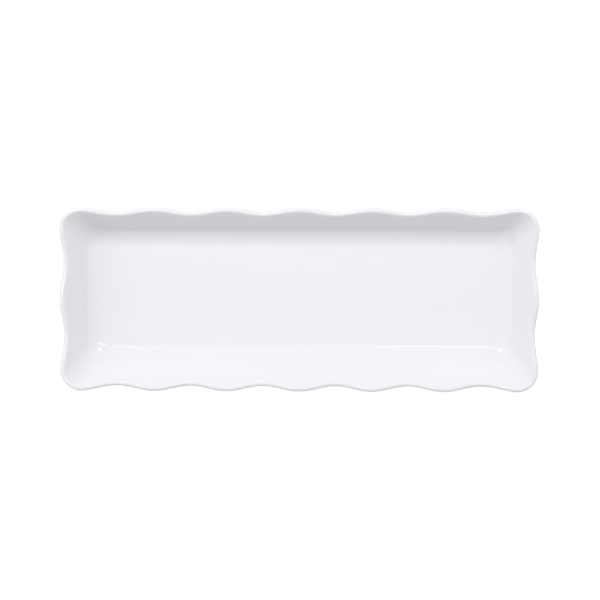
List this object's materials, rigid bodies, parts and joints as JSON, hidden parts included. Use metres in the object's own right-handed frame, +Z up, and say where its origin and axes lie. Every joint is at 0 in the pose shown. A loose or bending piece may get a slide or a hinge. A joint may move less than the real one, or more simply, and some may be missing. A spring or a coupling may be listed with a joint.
{
  "type": "serving platter",
  "caption": "Long shallow white china serving platter with a flat floor, coved and flared walls, a rounded scalloped rim and a low foot ring.",
  "frame": {"origin": "centre of the plane that the foot ring stands on", "axes": "+X along the platter, +Y across it, +Z up out of the well"},
  "size_m": [0.3936, 0.1524, 0.038],
  "materials": {
    "fired_china": "matte",
    "white_glaze": "gloss",
    "recess_glaze": "gloss"
  },
  "bodies": {
    "root": {"china_body": "fired_china", "glaze_upper": "white_glaze", "glaze_underside": "recess_glaze"}
  },
  "joints": []
}
